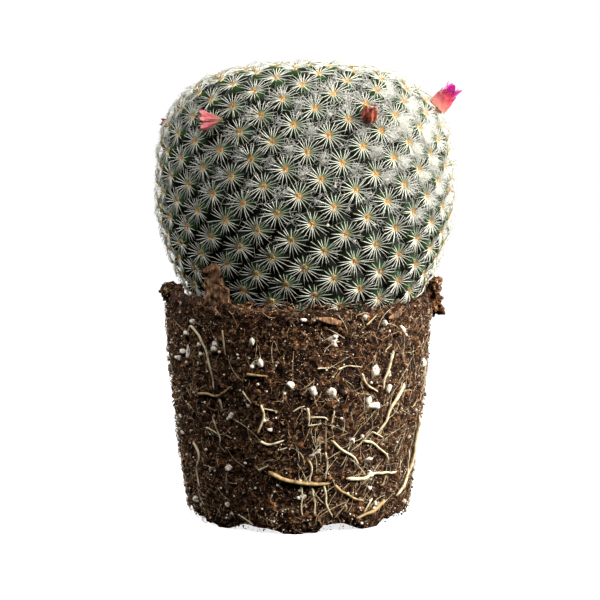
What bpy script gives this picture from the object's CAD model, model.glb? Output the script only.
"""The looks of a round cactus on its bare root ball, built around its fixed CAD solids.

Metres, +Z up, +X to the right of someone facing the plant, origin under the root ball's centre.
Angles round the plant are 0 at the front and grow towards +X.
"""

import itertools
import math

import bpy
import numpy as np
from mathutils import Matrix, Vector


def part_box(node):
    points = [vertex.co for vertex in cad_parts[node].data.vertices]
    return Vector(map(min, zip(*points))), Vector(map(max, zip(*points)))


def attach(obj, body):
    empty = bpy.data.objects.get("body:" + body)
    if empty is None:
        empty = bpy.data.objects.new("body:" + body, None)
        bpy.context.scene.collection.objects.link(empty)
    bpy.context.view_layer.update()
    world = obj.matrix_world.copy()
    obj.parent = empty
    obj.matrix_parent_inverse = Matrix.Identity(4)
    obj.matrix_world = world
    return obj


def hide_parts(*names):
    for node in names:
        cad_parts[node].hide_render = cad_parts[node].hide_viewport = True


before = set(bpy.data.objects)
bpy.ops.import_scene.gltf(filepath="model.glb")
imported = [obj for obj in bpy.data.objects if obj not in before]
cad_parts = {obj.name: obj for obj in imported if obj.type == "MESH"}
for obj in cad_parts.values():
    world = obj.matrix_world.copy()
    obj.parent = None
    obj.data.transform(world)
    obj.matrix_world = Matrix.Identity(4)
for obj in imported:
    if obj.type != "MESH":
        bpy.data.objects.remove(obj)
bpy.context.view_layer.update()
MM = 0.001

# ---------------------------------------------------------------- studio
# A white sweep with one main softbox at the upper right, a weaker one high at the front left and two
# from behind that edge the plant. Floor and sky are only seen: they throw no light back up.

scene = bpy.context.scene
scene.view_settings.view_transform = "Standard"
SOIL_LINE = 0.076

CAMERA_DISTANCE = 0.432
CAMERA_ELEVATION = math.radians(3.0)
CAMERA_AIM = Vector((0.0007, 0.0, SOIL_LINE))

camera_data = bpy.data.cameras.new("camera")
camera_data.lens = 72.0
camera_data.sensor_width = 36.0
camera = bpy.data.objects.new("camera", camera_data)
camera_back = Vector((0, -math.cos(CAMERA_ELEVATION), math.sin(CAMERA_ELEVATION)))
camera.location = CAMERA_AIM + CAMERA_DISTANCE * camera_back
camera.rotation_euler = (-camera_back).to_track_quat("-Z", "Y").to_euler()
scene.collection.objects.link(camera)
scene.camera = camera

# Each light: place, the point it faces, side length, power in watts, colour.
SOFTBOXES = {
    "key": ((0.76, -0.33, 0.47), (0.01, 0, 0.08), 0.20, 23.0, (1.0, 0.985, 0.96)),
    "fill": ((-0.32, -0.62, 0.84), (0, 0, 0.09), 0.22, 8.0, (0.98, 0.99, 1.0)),
    "edge_right": ((0.70, 0.40, 0.25), (0, 0, 0.09), 0.40, 5.5, (1.0, 1.0, 1.0)),
    "edge_left": ((-0.60, 0.45, 0.60), (0, 0, 0.11), 0.40, 6.0, (1.0, 1.0, 1.0)),
}
for light_name, (place, target, side, power, colour) in SOFTBOXES.items():
    light_data = bpy.data.lights.new(light_name, "AREA")
    light_data.size = side
    light_data.energy = power
    light_data.color = colour
    light = bpy.data.objects.new(light_name, light_data)
    light.location = place
    light.rotation_euler = (Vector(target) - Vector(place)).to_track_quat("-Z", "Y").to_euler()
    scene.collection.objects.link(light)


def linear(code):
    """sRGB hex string to linear RGBA."""
    parts = [int(code[i : i + 2], 16) / 255 for i in (0, 2, 4)]
    return [c / 12.92 if c < 0.04045 else ((c + 0.055) / 1.055) ** 2.4 for c in parts] + [1.0]


def add_node(tree, kind, settings=None, inputs=None):
    """Adds a node. Settings are its properties, or "stops" (position, hex) for a colour ramp;
    inputs are values, hex colours or the outputs of other nodes, by socket name or number."""
    made = tree.nodes.new(kind)
    for key, value in (settings or {}).items():
        if key != "stops":
            setattr(made, key, value)
            continue
        elements = made.color_ramp.elements
        while len(elements) < len(value):
            elements.new(0.5)
        for element, (position, code) in zip(elements, value):
            element.position = position
            element.color = linear(code)
    for key, value in (inputs or {}).items():
        if isinstance(value, bpy.types.NodeSocket):
            tree.links.new(value, made.inputs[key])
        else:
            made.inputs[key].default_value = linear(value) if isinstance(value, str) else value
    return made


def new_material(name, **values):
    """A material with a shader joined to its output; returns it with its node tree and shader."""
    made = bpy.data.materials.new(name)
    made.use_nodes = True
    made.node_tree.nodes.clear()
    values = {key.replace("_", " "): value for key, value in values.items()}
    shader = add_node(made.node_tree, "ShaderNodeBsdfPrincipled", inputs=values)
    ends = {"Surface": shader.outputs["BSDF"]}
    add_node(made.node_tree, "ShaderNodeOutputMaterial", inputs=ends)
    return made, made.node_tree, shader


world = bpy.data.worlds.new("white_sweep")
world.use_nodes = True
world.node_tree.nodes["Background"].inputs["Color"].default_value = (1, 1, 1, 1)
world.node_tree.nodes["Background"].inputs["Strength"].default_value = 1.0
world.cycles_visibility.diffuse = False
world.cycles_visibility.glossy = False
scene.world = world

# White sweep paper: matt, and lit so evenly that only the contact shadow shows on it.
FLOOR_HALF = 30.0
floor_paint, tree, shader = new_material(
    "white_sweep_paper",
    Base_Color="BCBCBC",
    Roughness=1.0,
    Specular_IOR_Level=0.0,
    Emission_Color="FFFFFF",
)
# Far from the plant the paper glows pure white; near it, a touch less, so a shadow can show.
SHADOW_REACH = 0.22
where = add_node(tree, "ShaderNodeTexCoord").outputs["Object"]
away = add_node(tree, "ShaderNodeVectorMath", {"operation": "LENGTH"}, {0: where})
glow = add_node(
    tree,
    "ShaderNodeMapRange",
    {"interpolation_type": "SMOOTHSTEP"},
    {"Value": away.outputs["Value"], "From Max": SHADOW_REACH, "To Min": 0.80, "To Max": 1.02},
)
tree.links.new(glow.outputs["Result"], shader.inputs["Emission Strength"])
floor_data = bpy.data.meshes.new("floor")
floor_corners = [(-FLOOR_HALF, -FLOOR_HALF, 0), (FLOOR_HALF, -FLOOR_HALF, 0)]
floor_corners += [(FLOOR_HALF, FLOOR_HALF, 0), (-FLOOR_HALF, FLOOR_HALF, 0)]
floor_data.from_pydata(floor_corners, [], [(0, 1, 2, 3)])
floor_data.materials.append(floor_paint)
floor = bpy.data.objects.new("floor", floor_data)
floor.visible_diffuse = False
floor.visible_glossy = False
scene.collection.objects.link(floor)

# ---------------------------------------------------------------- stem
# One grown body: a squat dome of cone-shaped tubercles, each set at the golden angle from the last.
# Its waxy skin is mid green on the cones and nearly black in the furrows between them.

STEM_X = 0.0025
STEM_RADIUS = 0.0522
STEM_WIDEST_Z = SOIL_LINE + 0.035
STEM_RISE, STEM_RISE_POWER = 0.047, 3.2
STEM_FALL, STEM_FALL_POWER = 0.066, 1.6
STEM_FOOT_DEPTH = 0.009
GOLDEN_ANGLE = math.radians(137.5077)
TUBERCLE_AREA = 83e-6
TUBERCLE_HEIGHT = 0.0034
TUBERCLE_REACH = 0.0056
CROWN_CROWDING = 0.6
CROWN_REACH = 0.014
FACING_TIP_Z = STEM_WIDEST_Z + 0.0143
FACING_TIP_ANGLE = math.radians(0.5)


def stem_profile(z):
    """Radius over the tubercle tips: a superellipse above the widest line, another below it."""
    up = z >= STEM_WIDEST_Z
    reach = np.where(up, STEM_RISE, STEM_FALL)
    power = np.where(up, STEM_RISE_POWER, STEM_FALL_POWER)
    share = np.minimum(np.abs(z - STEM_WIDEST_Z) / reach, 1.0)
    return STEM_RADIUS * (1 - share**power) ** (1 / power)


# Down the stem's side: height, radius and arc length, and how many tips lie above each place.
rise_turn = np.linspace(0, math.pi / 2, 1500)
rise_z = STEM_WIDEST_Z + STEM_RISE * np.cos(rise_turn) ** (2 / STEM_RISE_POWER)
fall_z = np.linspace(STEM_WIDEST_Z, SOIL_LINE - STEM_FOOT_DEPTH, 900)
meridian_z = np.concatenate([rise_z, fall_z[1:]])
meridian_r = stem_profile(meridian_z)
meridian_r[0] = 0.0
meridian_step = np.hypot(np.diff(meridian_r), np.diff(meridian_z))
meridian_s = np.concatenate([[0], np.cumsum(meridian_step)])
cell_area = TUBERCLE_AREA * (1 - CROWN_CROWDING * np.exp(-((meridian_s / CROWN_REACH) ** 2)))
band_area = math.pi * (meridian_r[1:] + meridian_r[:-1]) * meridian_step
tips_above = np.concatenate([[0], np.cumsum(band_area / cell_area[1:])])

facing_s = np.interp(-FACING_TIP_Z, -meridian_z, meridian_s)
facing_count = float(np.interp(facing_s, meridian_s, tips_above))
facing_tip = round(facing_count)
tip_shift = facing_tip - facing_count
tip_index = np.arange(int(tips_above[-1] + tip_shift))
tip_s = np.interp(tip_index - tip_shift, tips_above, meridian_s)
tip_angle = FACING_TIP_ANGLE - (tip_index - facing_tip) * GOLDEN_ANGLE


def stem_frame(angle, s):
    """Place on the surface over the tips, with its rightward, upward and outward unit vectors."""
    angle, s = np.broadcast_arrays(angle, s)
    radius = np.interp(s, meridian_s, meridian_r)
    height = np.interp(s, meridian_s, meridian_z)
    ahead, behind = s + 2e-4, s - 2e-4
    fall = np.interp(behind, meridian_s, meridian_z) - np.interp(ahead, meridian_s, meridian_z)
    spread = np.interp(ahead, meridian_s, meridian_r) - np.interp(behind, meridian_s, meridian_r)
    length = np.hypot(fall, spread)
    fall, spread = fall / length, spread / length
    sine, cosine = np.sin(angle), np.cos(angle)
    place = np.stack([STEM_X + radius * sine, -radius * cosine, height], axis=-1)
    rightward = np.stack([cosine, sine, 0 * cosine], axis=-1)
    upward = np.stack([-spread * sine, spread * cosine, fall], axis=-1)
    outward = np.stack([fall * sine, -fall * cosine, spread], axis=-1)
    return place, np.stack([rightward, upward, outward], axis=-2)


def chance(cells, seed):
    """A random number from 0 to 1 for each row of whole numbers: the fraction of a large sine."""
    mixed = np.sin(cells @ np.array([12.9898, 78.233, 37.719]) + 4.7 * seed) * 43758.5453
    return mixed - np.floor(mixed)


def soft_noise(points, size, seed=0):
    """Value noise from -1 to 1: random values on a cubic lattice of this size, smoothly blended."""
    scaled = points / size
    cell = np.floor(scaled)
    share = scaled - cell
    share = share * share * (3 - 2 * share)
    total = 0.0
    for corner in itertools.product((0, 1), repeat=3):
        weight = np.prod(np.where(corner, share, 1 - share), axis=-1)
        total = total + weight * chance(cell + corner, seed)
    return 2 * total - 1


def mesh_piece(name, points, face_groups, made, attributes=None, smooth=True):
    """One piece from points (n, 3) and groups of faces, each an array (faces, corners)."""
    data = bpy.data.meshes.new(name)
    sizes = np.concatenate([np.full(len(group), group.shape[1]) for group in face_groups])
    loops = np.concatenate([group.ravel() for group in face_groups]).astype(np.int32)
    starts = np.concatenate([[0], np.cumsum(sizes)[:-1]]).astype(np.int32)
    data.vertices.add(len(points))
    data.vertices.foreach_set("co", np.asarray(points, np.float32).ravel())
    data.loops.add(len(loops))
    data.loops.foreach_set("vertex_index", loops)
    data.polygons.add(len(sizes))
    data.polygons.foreach_set("loop_start", starts)
    data.update(calc_edges=True)
    for key, values in (attributes or {}).items():
        layer = data.attributes.new(key, "FLOAT", "POINT")
        layer.data.foreach_set("value", np.asarray(values, np.float32).ravel())
    if smooth:
        data.shade_smooth()
    data.materials.append(made)
    piece = bpy.data.objects.new(name, data)
    scene.collection.objects.link(piece)
    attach(piece, "root")
    return piece


def turned_surface(rings, first, last):
    """Points and faces of a closed surface: rings (rows, around, 3) between two poles.

    Rows run down and rings run anticlockwise seen from above, so the faces look outwards."""
    rows, around = rings.shape[:2]
    points = np.concatenate([rings.reshape(-1, 3), [first], [last]])
    grid = np.arange(rows * around).reshape(rows, around)
    beside = np.roll(grid, -1, axis=1)
    quads = np.stack([grid[:-1], grid[1:], beside[1:], beside[:-1]], axis=-1).reshape(-1, 4)
    top = np.stack([np.full(around, rows * around), grid[0], beside[0]], axis=-1)
    end = np.stack([grid[-1], np.full(around, rows * around + 1), beside[-1]], axis=-1)
    return points, [quads, np.concatenate([top, end])]


def attribute(tree, name):
    """A mesh's own point values, by name."""
    return add_node(tree, "ShaderNodeAttribute", {"attribute_name": name}).outputs["Fac"]


def noise(tree, size, detail=2.0, where=None):
    """Smooth noise with lumps of this real size."""
    if where is None:
        where = add_node(tree, "ShaderNodeTexCoord").outputs["Object"]
    sockets = {"Vector": where, "Scale": 1 / size, "Detail": detail}
    return add_node(tree, "ShaderNodeTexNoise", None, sockets).outputs["Fac"]


def graded(tree, stops, factor, shader=None):
    """Colours by (position, hex) stops over a factor, joined to a shader's base colour if given."""
    ramp = add_node(tree, "ShaderNodeValToRGB", {"stops": stops}, {"Fac": factor})
    if shader:
        tree.links.new(ramp.outputs["Color"], shader.inputs["Base Color"])
    return ramp.outputs["Color"]


def mixed_colour(tree, blend, amount, below, above):
    """Two colours mixed the way a paint program blends layers."""
    settings = {"data_type": "RGBA", "blend_type": blend}
    sockets = {0: amount, 6: below, 7: above}
    return add_node(tree, "ShaderNodeMix", settings, sockets).outputs[2]


SKIN_ROWS, SKIN_AROUND = 205, 440
skin_s = np.linspace(0.0006, meridian_s[-1], SKIN_ROWS)[:, None]
skin_angle = np.arange(SKIN_AROUND) * 2 * math.pi / SKIN_AROUND
skin_place, skin_axes = stem_frame(skin_angle, skin_s)
tip_place, tip_axes = stem_frame(tip_angle, tip_s)
tip_scale = np.sqrt(np.interp(tip_s, meridian_s, cell_area) / TUBERCLE_AREA)
skin_scale = np.sqrt(np.interp(skin_s, meridian_s, cell_area) / TUBERCLE_AREA)
from_tip = np.stack(
    [
        (np.linalg.norm(row[:, None] - tip_place, axis=-1) / tip_scale).min(axis=1)
        for row in skin_place
    ]
)
furrow = np.clip(from_tip / TUBERCLE_REACH, 0, 1.15)
furrow = 0.35 * furrow**2 + 0.65 * furrow**1.25
sunk = TUBERCLE_HEIGHT * furrow * skin_scale + 0.12 * MM * soft_noise(skin_place, 1.6 * MM, 2)
skin_rings = skin_place - sunk[..., None] * skin_axes[..., 2, :]
skin_top = (STEM_X, 0, skin_rings[0, :, 2].mean())
skin_foot = (STEM_X, 0, skin_rings[-1, :, 2].min())
skin_points, skin_faces = turned_surface(skin_rings, skin_top, skin_foot)

# Living cactus skin: a waxy cuticle over mottled green, so a broad soft sheen, never a mirror.
waxy_skin, tree, shader = new_material("waxy_cactus_skin", Roughness=0.7, Specular_IOR_Level=0.15)
green_stops = ((0.0, "3C5C28"), (0.25, "213A15"), (0.5, "0C1808"), (1.0, "030503"))
green = graded(tree, green_stops, attribute(tree, "furrow"))
mottled = mixed_colour(tree, "OVERLAY", 0.3, green, noise(tree, 1.1 * MM))
tree.links.new(mottled, shader.inputs["Base Color"])

stem_skin = mesh_piece(
    "stem_skin", skin_points, skin_faces, waxy_skin, {"furrow": np.append(furrow, [0.6, 1.0])}
)
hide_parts("stem")

# ---------------------------------------------------------------- areoles
# A pad of short golden felt on every tubercle's tip, from which the spines grow. Its middle is
# browner, and pale felt stands up round it.

PAD_HALF_WIDTH = 0.95 * MM
PAD_HALF_HEIGHT = 1.3 * MM
PAD_DOME = 0.55 * MM
rng = np.random.default_rng(7)
tips = len(tip_place)


def ball_template(rows, around):
    """A closed ball of radius 1: rings at even steps of latitude between two poles."""
    polar = math.pi * (np.arange(rows) + 1)[:, None] / (rows + 1)
    turn = np.arange(around) * 2 * math.pi / around
    rings = [np.sin(polar) * np.cos(turn), np.sin(polar) * np.sin(turn), np.cos(polar) + 0 * turn]
    return turned_surface(np.stack(rings, axis=-1), (0, 0, 1), (0, 0, -1))


def scattered(template, places, axes):
    """Copies of a template: place + template point times axes (n, 3, 3), with all its faces."""
    points, face_groups = template
    moved = places[:, None] + np.einsum("vi,nij->nvj", points, axes)
    step = (np.arange(len(places)) * len(points))[:, None, None]
    return moved.reshape(-1, 3), [
        (group[None] + step).reshape(-1, group.shape[1]) for group in face_groups
    ]


def maths(tree, operation, *values):
    """One step of arithmetic on numbers or sockets."""
    sockets = dict(enumerate(values))
    return add_node(tree, "ShaderNodeMath", {"operation": operation}, sockets).outputs[0]


pad_template = ball_template(3, 10)
pad_size = np.array([PAD_HALF_WIDTH, PAD_HALF_HEIGHT, PAD_DOME])
pad_axes = tip_axes * (pad_size * tip_scale[:, None])[:, :, None]
pad_places = tip_place - 0.15 * MM * tip_axes[:, 2]
pad_points, pad_faces = scattered(pad_template, pad_places, pad_axes)
pad_rim = np.tile(np.hypot(*pad_template[0][:, :2].T), tips)

# Areole felt: dense short plant hair, so a matt golden pad with a broad sheen at its edges.
golden_felt, tree, shader = new_material(
    "golden_areole_felt", Roughness=0.85, Sheen_Weight=0.4, Sheen_Roughness=0.5
)
felt_stops = ((0.231, "7A3C0E"), (0.477, "BC7622"), (0.731, "D29E48"), (0.962, "E4C688"))
felt_way = maths(tree, "MULTIPLY_ADD", noise(tree, 0.5 * MM), 0.7, attribute(tree, "rim"))
graded(tree, felt_stops, maths(tree, "DIVIDE", felt_way, 1.3), shader)
mesh_piece("areole_pads", pad_points, pad_faces, golden_felt, {"rim": pad_rim})


def strands(paths, radii, facing, sides=3):
    """Closed tubes along paths (n, k, 3) with radii (n, k): a ring of points square to the path at
    each step, rolled to lie against facing (n, 3). Also gives each point's share of the way."""
    ahead = np.gradient(paths, axis=1)
    side = np.cross(ahead, facing[:, None])
    side /= np.linalg.norm(side, axis=-1, keepdims=True)
    other = np.cross(ahead, side)
    other /= np.linalg.norm(other, axis=-1, keepdims=True)
    turn = (np.arange(sides) * 2 * math.pi / sides)[:, None]
    ring = np.cos(turn) * side[:, :, None] + np.sin(turn) * other[:, :, None]
    points = paths[:, :, None] + radii[..., None, None] * ring
    grid = np.arange(points[..., 0].size).reshape(points.shape[:3])
    beside = np.roll(grid, -1, axis=2)
    quads = [grid[:, :-1], beside[:, :-1], beside[:, 1:], grid[:, 1:]]
    caps = np.concatenate([grid[:, 0, ::-1], grid[:, -1]])
    share = np.linspace(0, 1, paths.shape[1])[None, :, None] + 0.0 * grid
    return points.reshape(-1, 3), [np.stack(quads, axis=-1).reshape(-1, 4), caps], share


def on_tips(local):
    """Paths (tips, strands, steps, 3) right, up and out from each tip, put in their places."""
    placed = np.einsum("nhki,nij->nhkj", local, tip_axes) + tip_place[:, None, None]
    return placed.reshape(-1, *local.shape[2:])


FELT_HAIRS = 9
felt_turn = rng.uniform(0, 2 * math.pi, (tips, FELT_HAIRS))
felt_away = np.stack([np.cos(felt_turn), np.sin(felt_turn), 0 * felt_turn], axis=-1)
felt_t = np.linspace(0, 1, 4)[:, None]
felt_reach = rng.uniform(0.4, 0.9, (tips, FELT_HAIRS))[..., None, None] * MM
felt_local = felt_away[:, :, None] * (np.array([0.5, 0.8, 1.0]) * MM + 0.7 * felt_reach * felt_t)
felt_local[..., 2] += (0.2 * MM + felt_reach * (felt_t - 0.5 * felt_t**2))[..., 0]
felt_paths = on_tips(felt_local * tip_scale[:, None, None, None])
felt_radii = np.full(felt_paths.shape[:2], 0.06 * MM) * np.array([1, 0.9, 0.7, 0.3])
felt_side = np.cross(np.repeat(tip_axes[:, 2], FELT_HAIRS, axis=0), [0.3, 0.2, 0.9])
felt_points, felt_faces, _ = strands(felt_paths, felt_radii, felt_side)

# Loose areole hair: fine, dry and straw-coloured, with a faint sheen.
pale_felt, _, _ = new_material(
    "pale_areole_hair", Base_Color="DDBE84", Roughness=0.7, Sheen_Weight=0.3
)
mesh_piece("areole_hair", felt_points, felt_faces, pale_felt)

# ---------------------------------------------------------------- spines
# Each areole spreads about twenty thin, stiff radial spines like a comb pressed nearly flat on the
# stem, and three short amber spines that stand up out of its middle.

RADIAL_SPINES = 21
SPINE_SIDEWAYS = 6.4 * MM
SPINE_DOWN = 5.6 * MM
SPINE_UP = 4.9 * MM
SPINE_START = 0.75 * MM
SPINE_RADIUS = 0.13 * MM
SPINE_TILT = np.radians([7, 20])
SPINE_BEND = 0.13 * MM
SPINE_STEPS = np.linspace(0, 1, 4)

spine_turn = (np.arange(RADIAL_SPINES) + rng.uniform(-0.28, 0.28, (tips, RADIAL_SPINES))) * (
    2 * math.pi / RADIAL_SPINES
) + rng.uniform(0, 1, (tips, 1))
spine_sine, spine_cosine = np.sin(spine_turn), np.cos(spine_turn)
vertical_reach = np.where(spine_sine > 0, SPINE_UP, SPINE_DOWN)
spine_reach = 1 / np.hypot(spine_cosine / SPINE_SIDEWAYS, spine_sine / vertical_reach)
spine_reach *= rng.uniform(0.88, 1.08, spine_reach.shape) * tip_scale[:, None]
spine_tilt = rng.uniform(*SPINE_TILT, spine_reach.shape)
along = (spine_reach - SPINE_START)[..., None] * SPINE_STEPS
outstretch = SPINE_START + along * np.cos(spine_tilt)[..., None]
standing = 0.25 * MM + along * np.sin(spine_tilt)[..., None] * (1.25 - 0.45 * SPINE_STEPS)
bend = rng.normal(0, SPINE_BEND, spine_reach.shape)[..., None] * SPINE_STEPS**2
spine_right = outstretch * spine_cosine[..., None] - bend * spine_sine[..., None]
spine_upward = outstretch * spine_sine[..., None] + bend * spine_cosine[..., None]
spine_paths = on_tips(np.stack([spine_right, spine_upward, standing], axis=-1))
spine_radii = np.full(spine_paths.shape[:2], SPINE_RADIUS) * np.array([0.9, 1.0, 0.8, 0.25])
spine_facing = np.repeat(tip_axes[:, 2], RADIAL_SPINES, axis=0)
spine_points, spine_faces, spine_share = strands(spine_paths, spine_radii, spine_facing)

# Spine horn: dry cell wall, glassy white along its length and a little yellow at foot and point.
white_horn, tree, shader = new_material("white_spine_horn", Roughness=0.38)
horn_stops = ((0.0, "CDB680"), (0.14, "DCDBCA"), (0.8, "DFE0D3"), (1.0, "CCC3A6"))
graded(tree, horn_stops, attribute(tree, "way"), shader)
mesh_piece("radial_spines", spine_points, spine_faces, white_horn, {"way": spine_share})

# Central spines: one up, one down and one to the right, by turn round the areole in degrees.
CENTRAL_TURNS = np.radians([90, 270, 20])
CENTRAL_LENGTH_MM = (1.1, 1.8)
CENTRAL_LEAN = np.radians([20, 48])
CENTRAL_RADIUS = 0.13 * MM
CENTRAL_STEPS = np.linspace(0, 1, 4)
central_turn = CENTRAL_TURNS + rng.normal(0, 0.3, (tips, 3))
central_length = rng.uniform(*CENTRAL_LENGTH_MM, (tips, 3)) * tip_scale[:, None] * MM
central_lean = rng.uniform(*CENTRAL_LEAN, (tips, 3))
central_out = central_length[..., None] * CENTRAL_STEPS
central_flat = 0.3 * MM + central_out * np.cos(central_lean)[..., None]
central_standing = 0.3 * MM + central_out * np.sin(central_lean)[..., None]
central_right = central_flat * np.cos(central_turn)[..., None]
central_upward = central_flat * np.sin(central_turn)[..., None]
central_paths = on_tips(np.stack([central_right, central_upward, central_standing], axis=-1))
central_radii = np.full(central_paths.shape[:2], CENTRAL_RADIUS) * np.array([1.1, 1.0, 0.7, 0.2])
central_facing = np.repeat(tip_axes[:, 0] + 0.3 * tip_axes[:, 1], 3, axis=0)
points, faces, central_share = strands(central_paths, central_radii, central_facing)

# The same horn, stained amber: straw at the foot and red-brown at the point.
amber_horn, tree, shader = new_material("amber_spine_horn", Roughness=0.35)
amber_stops = ((0.0, "EFE3BE"), (0.5, "DFB670"), (1.0, "A0602A"))
graded(tree, amber_stops, attribute(tree, "way"), shader)
mesh_piece("central_spines", points, faces, amber_horn, {"way": central_share})

# ---------------------------------------------------------------- axil wool
# Tufts of curly white wool that fill the hollows between tubercles in a belt round the stem, where
# the last flowers stood, with crumbs of dried flower caught in them.

WOOL_BELT_Z = 0.127
WOOL_BELT_HALF = 0.016
WOOL_BRIGHT_ANGLE = math.radians(55)
HAIRS = 15000
HAIR_STEPS = np.linspace(0, 1, 4)
HAIR_RADIUS = 0.045 * MM
HAIR_LENGTH_MM = (1.8, 4.2)
HAIR_CURL = 0.45 * MM
TUFTS = 1300
TUFT_MM = (0.4, 1.1)
FLAKES = 110

hollow = np.ones(furrow.shape, bool)
for down, across in itertools.product(range(-3, 4), repeat=2):
    if (down, across) != (0, 0):
        shifted = np.roll(from_tip, (down, across), axis=(0, 1))
        hollow &= from_tip > shifted - 1e-12 * (down * 7 + across)
hollow[:4] = False
hollow[-6:] = False
hollow_place = skin_rings[hollow]
hollow_axes = skin_axes[hollow]
hollow_angle = np.arctan2(hollow_place[:, 0] - STEM_X, -hollow_place[:, 1])
belt = np.exp(-(((hollow_place[:, 2] - WOOL_BELT_Z) / WOOL_BELT_HALF) ** 2))
bright = np.exp(-(((hollow_angle - WOOL_BRIGHT_ANGLE) / 0.75) ** 2))
patchy = 0.6 + 0.8 * soft_noise(hollow_place, 13 * MM, 5)
wool_share = np.clip(belt * (0.30 + 1.1 * bright) * patchy, 0, None)
hair_home = rng.choice(len(hollow_place), HAIRS, p=wool_share / wool_share.sum())
hair_axes = hollow_axes[hair_home]
hair_jitter = rng.normal(0, 1, (HAIRS, 3)) * np.array([1.35, 1.35, 0.4]) * MM
hair_jitter[:, 2] = np.abs(hair_jitter[:, 2]) + 0.8 * MM
hair_away = rng.normal(0, 0.8, (HAIRS, 3)) + np.array([0, 0, 0.7])
hair_away /= np.linalg.norm(hair_away, axis=-1, keepdims=True)
hair_length = rng.uniform(*HAIR_LENGTH_MM, (HAIRS, 1, 1)) * MM
curl_phase = rng.uniform(0, 2 * math.pi, (HAIRS, 3, 1))
curl = np.sin(curl_phase + 4.0 * HAIR_STEPS) * HAIR_CURL
hair_local = hair_jitter[:, None] + hair_away[:, None] * hair_length * HAIR_STEPS[:, None]
hair_local += np.swapaxes(curl, 1, 2) * HAIR_STEPS[:, None]
hair_paths = np.einsum("nki,nij->nkj", hair_local, hair_axes)
hair_paths += hollow_place[hair_home][:, None]
hair_radii = np.full(hair_paths.shape[:2], HAIR_RADIUS) * np.array([1, 1, 0.8, 0.3])

# Axil wool: white plant hair, matt and fluffy, so a soft sheen and no highlight.
white_wool, _, _ = new_material(
    "white_axil_wool",
    Base_Color="E8E7DE",
    Roughness=0.9,
    Sheen_Weight=0.3,
    Specular_IOR_Level=0.2,
)
from_left = np.argsort(hair_paths[:, 0, 0])
for half, chosen in {"left": from_left[: HAIRS // 2], "right": from_left[HAIRS // 2 :]}.items():
    points, faces, _ = strands(hair_paths[chosen], hair_radii[chosen], hair_axes[chosen, 0])
    mesh_piece(f"axil_wool_{half}", points, faces, white_wool)

tuft_home = rng.choice(len(hollow_place), TUFTS, p=wool_share / wool_share.sum())
tuft_size = rng.uniform(*TUFT_MM, (TUFTS, 3)) * np.array([1.0, 1.0, 0.6]) * MM
tuft_move = rng.normal(0, 1.2, (TUFTS, 3)) * np.array([1, 1, 0.15]) * MM
tuft_move[:, 2] -= 0.1 * MM
tuft_axes = hollow_axes[tuft_home]
tuft_places = hollow_place[tuft_home] + np.einsum("ni,nij->nj", tuft_move, tuft_axes)
tuft_axes = tuft_axes * tuft_size[:, :, None]
tuft_points, tuft_faces = scattered(ball_template(5, 10), tuft_places, tuft_axes)
tuft_points = tuft_points + 0.35 * MM * np.stack(
    [soft_noise(tuft_points, 0.5 * MM, seed) for seed in (1, 2, 3)], axis=-1
)

# The matted foot of the same wool, greyer where dust has settled in it.
matted_wool, tree, shader = new_material(
    "matted_axil_wool", Roughness=0.95, Sheen_Weight=0.3, Specular_IOR_Level=0.1
)
dust_stops = ((0.36, "8A7C66"), (0.5, "BDB8A6"), (0.64, "E2E0D6"))
graded(tree, dust_stops, noise(tree, 0.4 * MM), shader)
mesh_piece("matted_wool", tuft_points, tuft_faces, matted_wool)

flake_home = rng.choice(len(hollow_place), FLAKES, p=wool_share / wool_share.sum())
flake_move = rng.normal(0, 1.3, (FLAKES, 3)) * np.array([1, 1, 0.3]) + np.array([0, 0, 0.8])
flake_places = hollow_place[flake_home] + np.einsum(
    "ni,nij->nj", flake_move * MM, hollow_axes[flake_home]
)


def random_axes(count):
    """Right-handed unit axes pointing every way: two random vectors made square to each other."""
    first = rng.normal(size=(count, 3))
    first /= np.linalg.norm(first, axis=-1, keepdims=True)
    third = np.cross(first, rng.normal(size=(count, 3)))
    third /= np.linalg.norm(third, axis=-1, keepdims=True)
    return np.stack([first, np.cross(third, first), third], axis=1)


def strewn(template, places, sizes):
    """Copies of a template at places, turned every way and stretched by sizes (n, 3)."""
    return scattered(template, places, random_axes(len(places)) * sizes[:, :, None])


flake_size = rng.uniform(0.5, 1.0, (FLAKES, 3)) * np.array([0.9, 0.45, 0.14]) * MM
flake_points, flake_faces = strewn(ball_template(2, 6), flake_places, flake_size)
# Dried flower crumbs: papery, dull red-brown.
dried_crumb, _, _ = new_material("dried_flower_crumb", Base_Color="7A4038", Roughness=0.9)
flower_crumbs = mesh_piece("flower_crumbs", flake_points, flake_faces, dried_crumb, None, False)

# ---------------------------------------------------------------- root ball
# Peat-based potting soil that kept the tapered shape of its pot, held together by roots: rounded
# crumbs with dark pits between them, broken away here and there under its lower edge.

BALL_BASE_RADIUS = 0.0388
BALL_TOP_RADIUS = 0.0474
BALL_BELLY = 0.0009
BALL_EDGE = 0.0022
BALL_AROUND = 440
BALL_SIDE_ROWS = 172
FOOT_CRUMBLE, FOOT_UNDERCUT = 7 * MM, 1.4 * MM
SHOULDER_HEIGHT = 12 * MM
SOCKET_RADIUS, SOCKET_SLOPE, SOCKET_DEPTH = 0.034, 0.005, 9.5 * MM
CRUMB_SIZES = ((3.4 * MM, 1.0 * MM), (1.7 * MM, 0.75 * MM), (0.95 * MM, 0.4 * MM))


def round_axis(radius, angle, z):
    """Points by radius, angle round the plant and height."""
    right = radius * np.sin(angle)
    return np.stack([right, -radius * np.cos(angle), z + 0 * right], axis=-1)


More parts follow.
